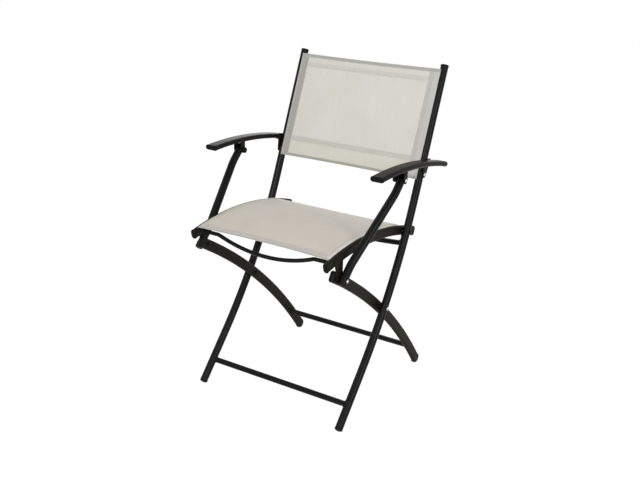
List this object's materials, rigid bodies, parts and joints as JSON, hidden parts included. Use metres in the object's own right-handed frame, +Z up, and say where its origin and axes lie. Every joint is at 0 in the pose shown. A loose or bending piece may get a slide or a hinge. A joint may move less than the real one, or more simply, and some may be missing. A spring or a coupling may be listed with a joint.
{
  "type": "folding sling patio chair",
  "caption": "Folding patio armchair: round tube frame crossed by arched oval legs, cloth sling seat and back, flat curved armrests on struts.",
  "frame": {"origin": "centre of the chair's footprint box, on the floor", "axes": "+X towards the sitter's left, +Y towards the back of the chair, +Z up"},
  "size_m": [0.576, 0.5775, 0.9017],
  "materials": {
    "tube_paint": "satin, slightly textured powder coat",
    "oval_bar_paint": "satin powder coat",
    "black_plastic": "matte moulded",
    "zinc_steel": "bright zinc",
    "sling_cloth": "woven coated mesh"
  },
  "bodies": {
    "main_frame": {"front_crossbar": "tube_paint", "back_sling": "sling_cloth", "main_tube_left": "tube_paint", "main_tube_right": "tube_paint", "post_cap_left": "black_plastic", "post_cap_right": "black_plastic", "foot_cap_front_left": "black_plastic", "foot_cap_front_right": "black_plastic", "scissor_bolt_left": "zinc_steel", "scissor_bolt_right": "zinc_steel", "seat_pivot_bolt_left": "zinc_steel", "seat_pivot_bolt_right": "zinc_steel", "arm_pivot_bolt_left": "zinc_steel", "arm_pivot_bolt_right": "zinc_steel", "scissor_spacer_left": "black_plastic", "scissor_spacer_right": "black_plastic", "seat_pivot_spacer_left": "black_plastic", "seat_pivot_spacer_right": "black_plastic"},
    "rear_leg_frame": {"rear_crossbar": "tube_paint", "rear_leg_left": "oval_bar_paint", "rear_leg_right": "oval_bar_paint", "rear_leg_nose_cap_left": "black_plastic", "rear_leg_nose_cap_right": "black_plastic", "foot_cap_rear_left": "black_plastic", "foot_cap_rear_right": "black_plastic", "front_pivot_pin_left": "zinc_steel", "front_pivot_pin_right": "zinc_steel"},
    "seat_frame": {"front_bow_rod": "tube_paint", "rear_bow_rod": "tube_paint", "seat_sling": "sling_cloth", "seat_rail_left": "oval_bar_paint", "seat_rail_right": "oval_bar_paint", "rail_front_cap_left": "black_plastic", "rail_front_cap_right": "black_plastic", "rail_rear_cap_left": "black_plastic", "rail_rear_cap_right": "black_plastic", "seat_hook_plate_left": "oval_bar_paint", "seat_hook_plate_right": "oval_bar_paint"},
    "arm_left_body": {"armrest_left": "tube_paint", "arm_front_cap_left": "black_plastic", "arm_rear_cap_left": "black_plastic", "arm_pivot_bracket_left": "oval_bar_paint", "strut_bracket_left": "oval_bar_paint", "strut_bolt_left": "zinc_steel", "strut_knob_left": "black_plastic"},
    "strut_left_body": {"strut_left": "tube_paint", "strut_foot_bolt_left": "zinc_steel"},
    "arm_right_body": {"armrest_right": "tube_paint", "arm_front_cap_right": "black_plastic", "arm_rear_cap_right": "black_plastic", "arm_pivot_bracket_right": "oval_bar_paint", "strut_bracket_right": "oval_bar_paint", "strut_bolt_right": "zinc_steel", "strut_knob_right": "black_plastic"},
    "strut_right_body": {"strut_right": "tube_paint", "strut_foot_bolt_right": "zinc_steel"}
  },
  "joints": [
    {"name": "fold_rear_legs", "type": "hinge", "parent": "main_frame", "child": "rear_leg_frame", "pos_m": [0, -0.02405, 0.2762], "axis": [-1, 0, 0], "range_deg": [0, 64]},
    {"name": "flip_seat", "type": "hinge", "parent": "main_frame", "child": "seat_frame", "pos_m": [0, 0.08954, 0.4651], "axis": [-1, 0, 0], "range_deg": [0, 91]},
    {"name": "swing_arm_left", "type": "hinge", "parent": "main_frame", "child": "arm_left_body", "pos_m": [0, 0.15749, 0.61508], "axis": [-1, 0, 0], "range_deg": [0, 99.25]},
    {"name": "swing_strut_left", "type": "hinge", "parent": "arm_left_body", "child": "strut_left_body", "pos_m": [0, -0.01031, 0.64588], "axis": [1, 0, 0], "range_deg": [0, 107.7]},
    {"name": "swing_arm_right", "type": "hinge", "parent": "main_frame", "child": "arm_right_body", "pos_m": [0, 0.15749, 0.61508], "axis": [-1, 0, 0], "range_deg": [0, 99.25]},
    {"name": "swing_strut_right", "type": "hinge", "parent": "arm_right_body", "child": "strut_right_body", "pos_m": [0, -0.01031, 0.64588], "axis": [1, 0, 0], "range_deg": [0, 107.7]}
  ],
  "couplings": [
    {"joint": "flip_seat", "follows": "fold_rear_legs", "ratio": 1.4219},
    {"joint": "swing_arm_left", "follows": "fold_rear_legs", "ratio": 1.5508},
    {"joint": "swing_strut_left", "follows": "fold_rear_legs", "ratio": 1.6828},
    {"joint": "swing_arm_right", "follows": "fold_rear_legs", "ratio": 1.5508},
    {"joint": "swing_strut_right", "follows": "fold_rear_legs", "ratio": 1.6828}
  ]
}
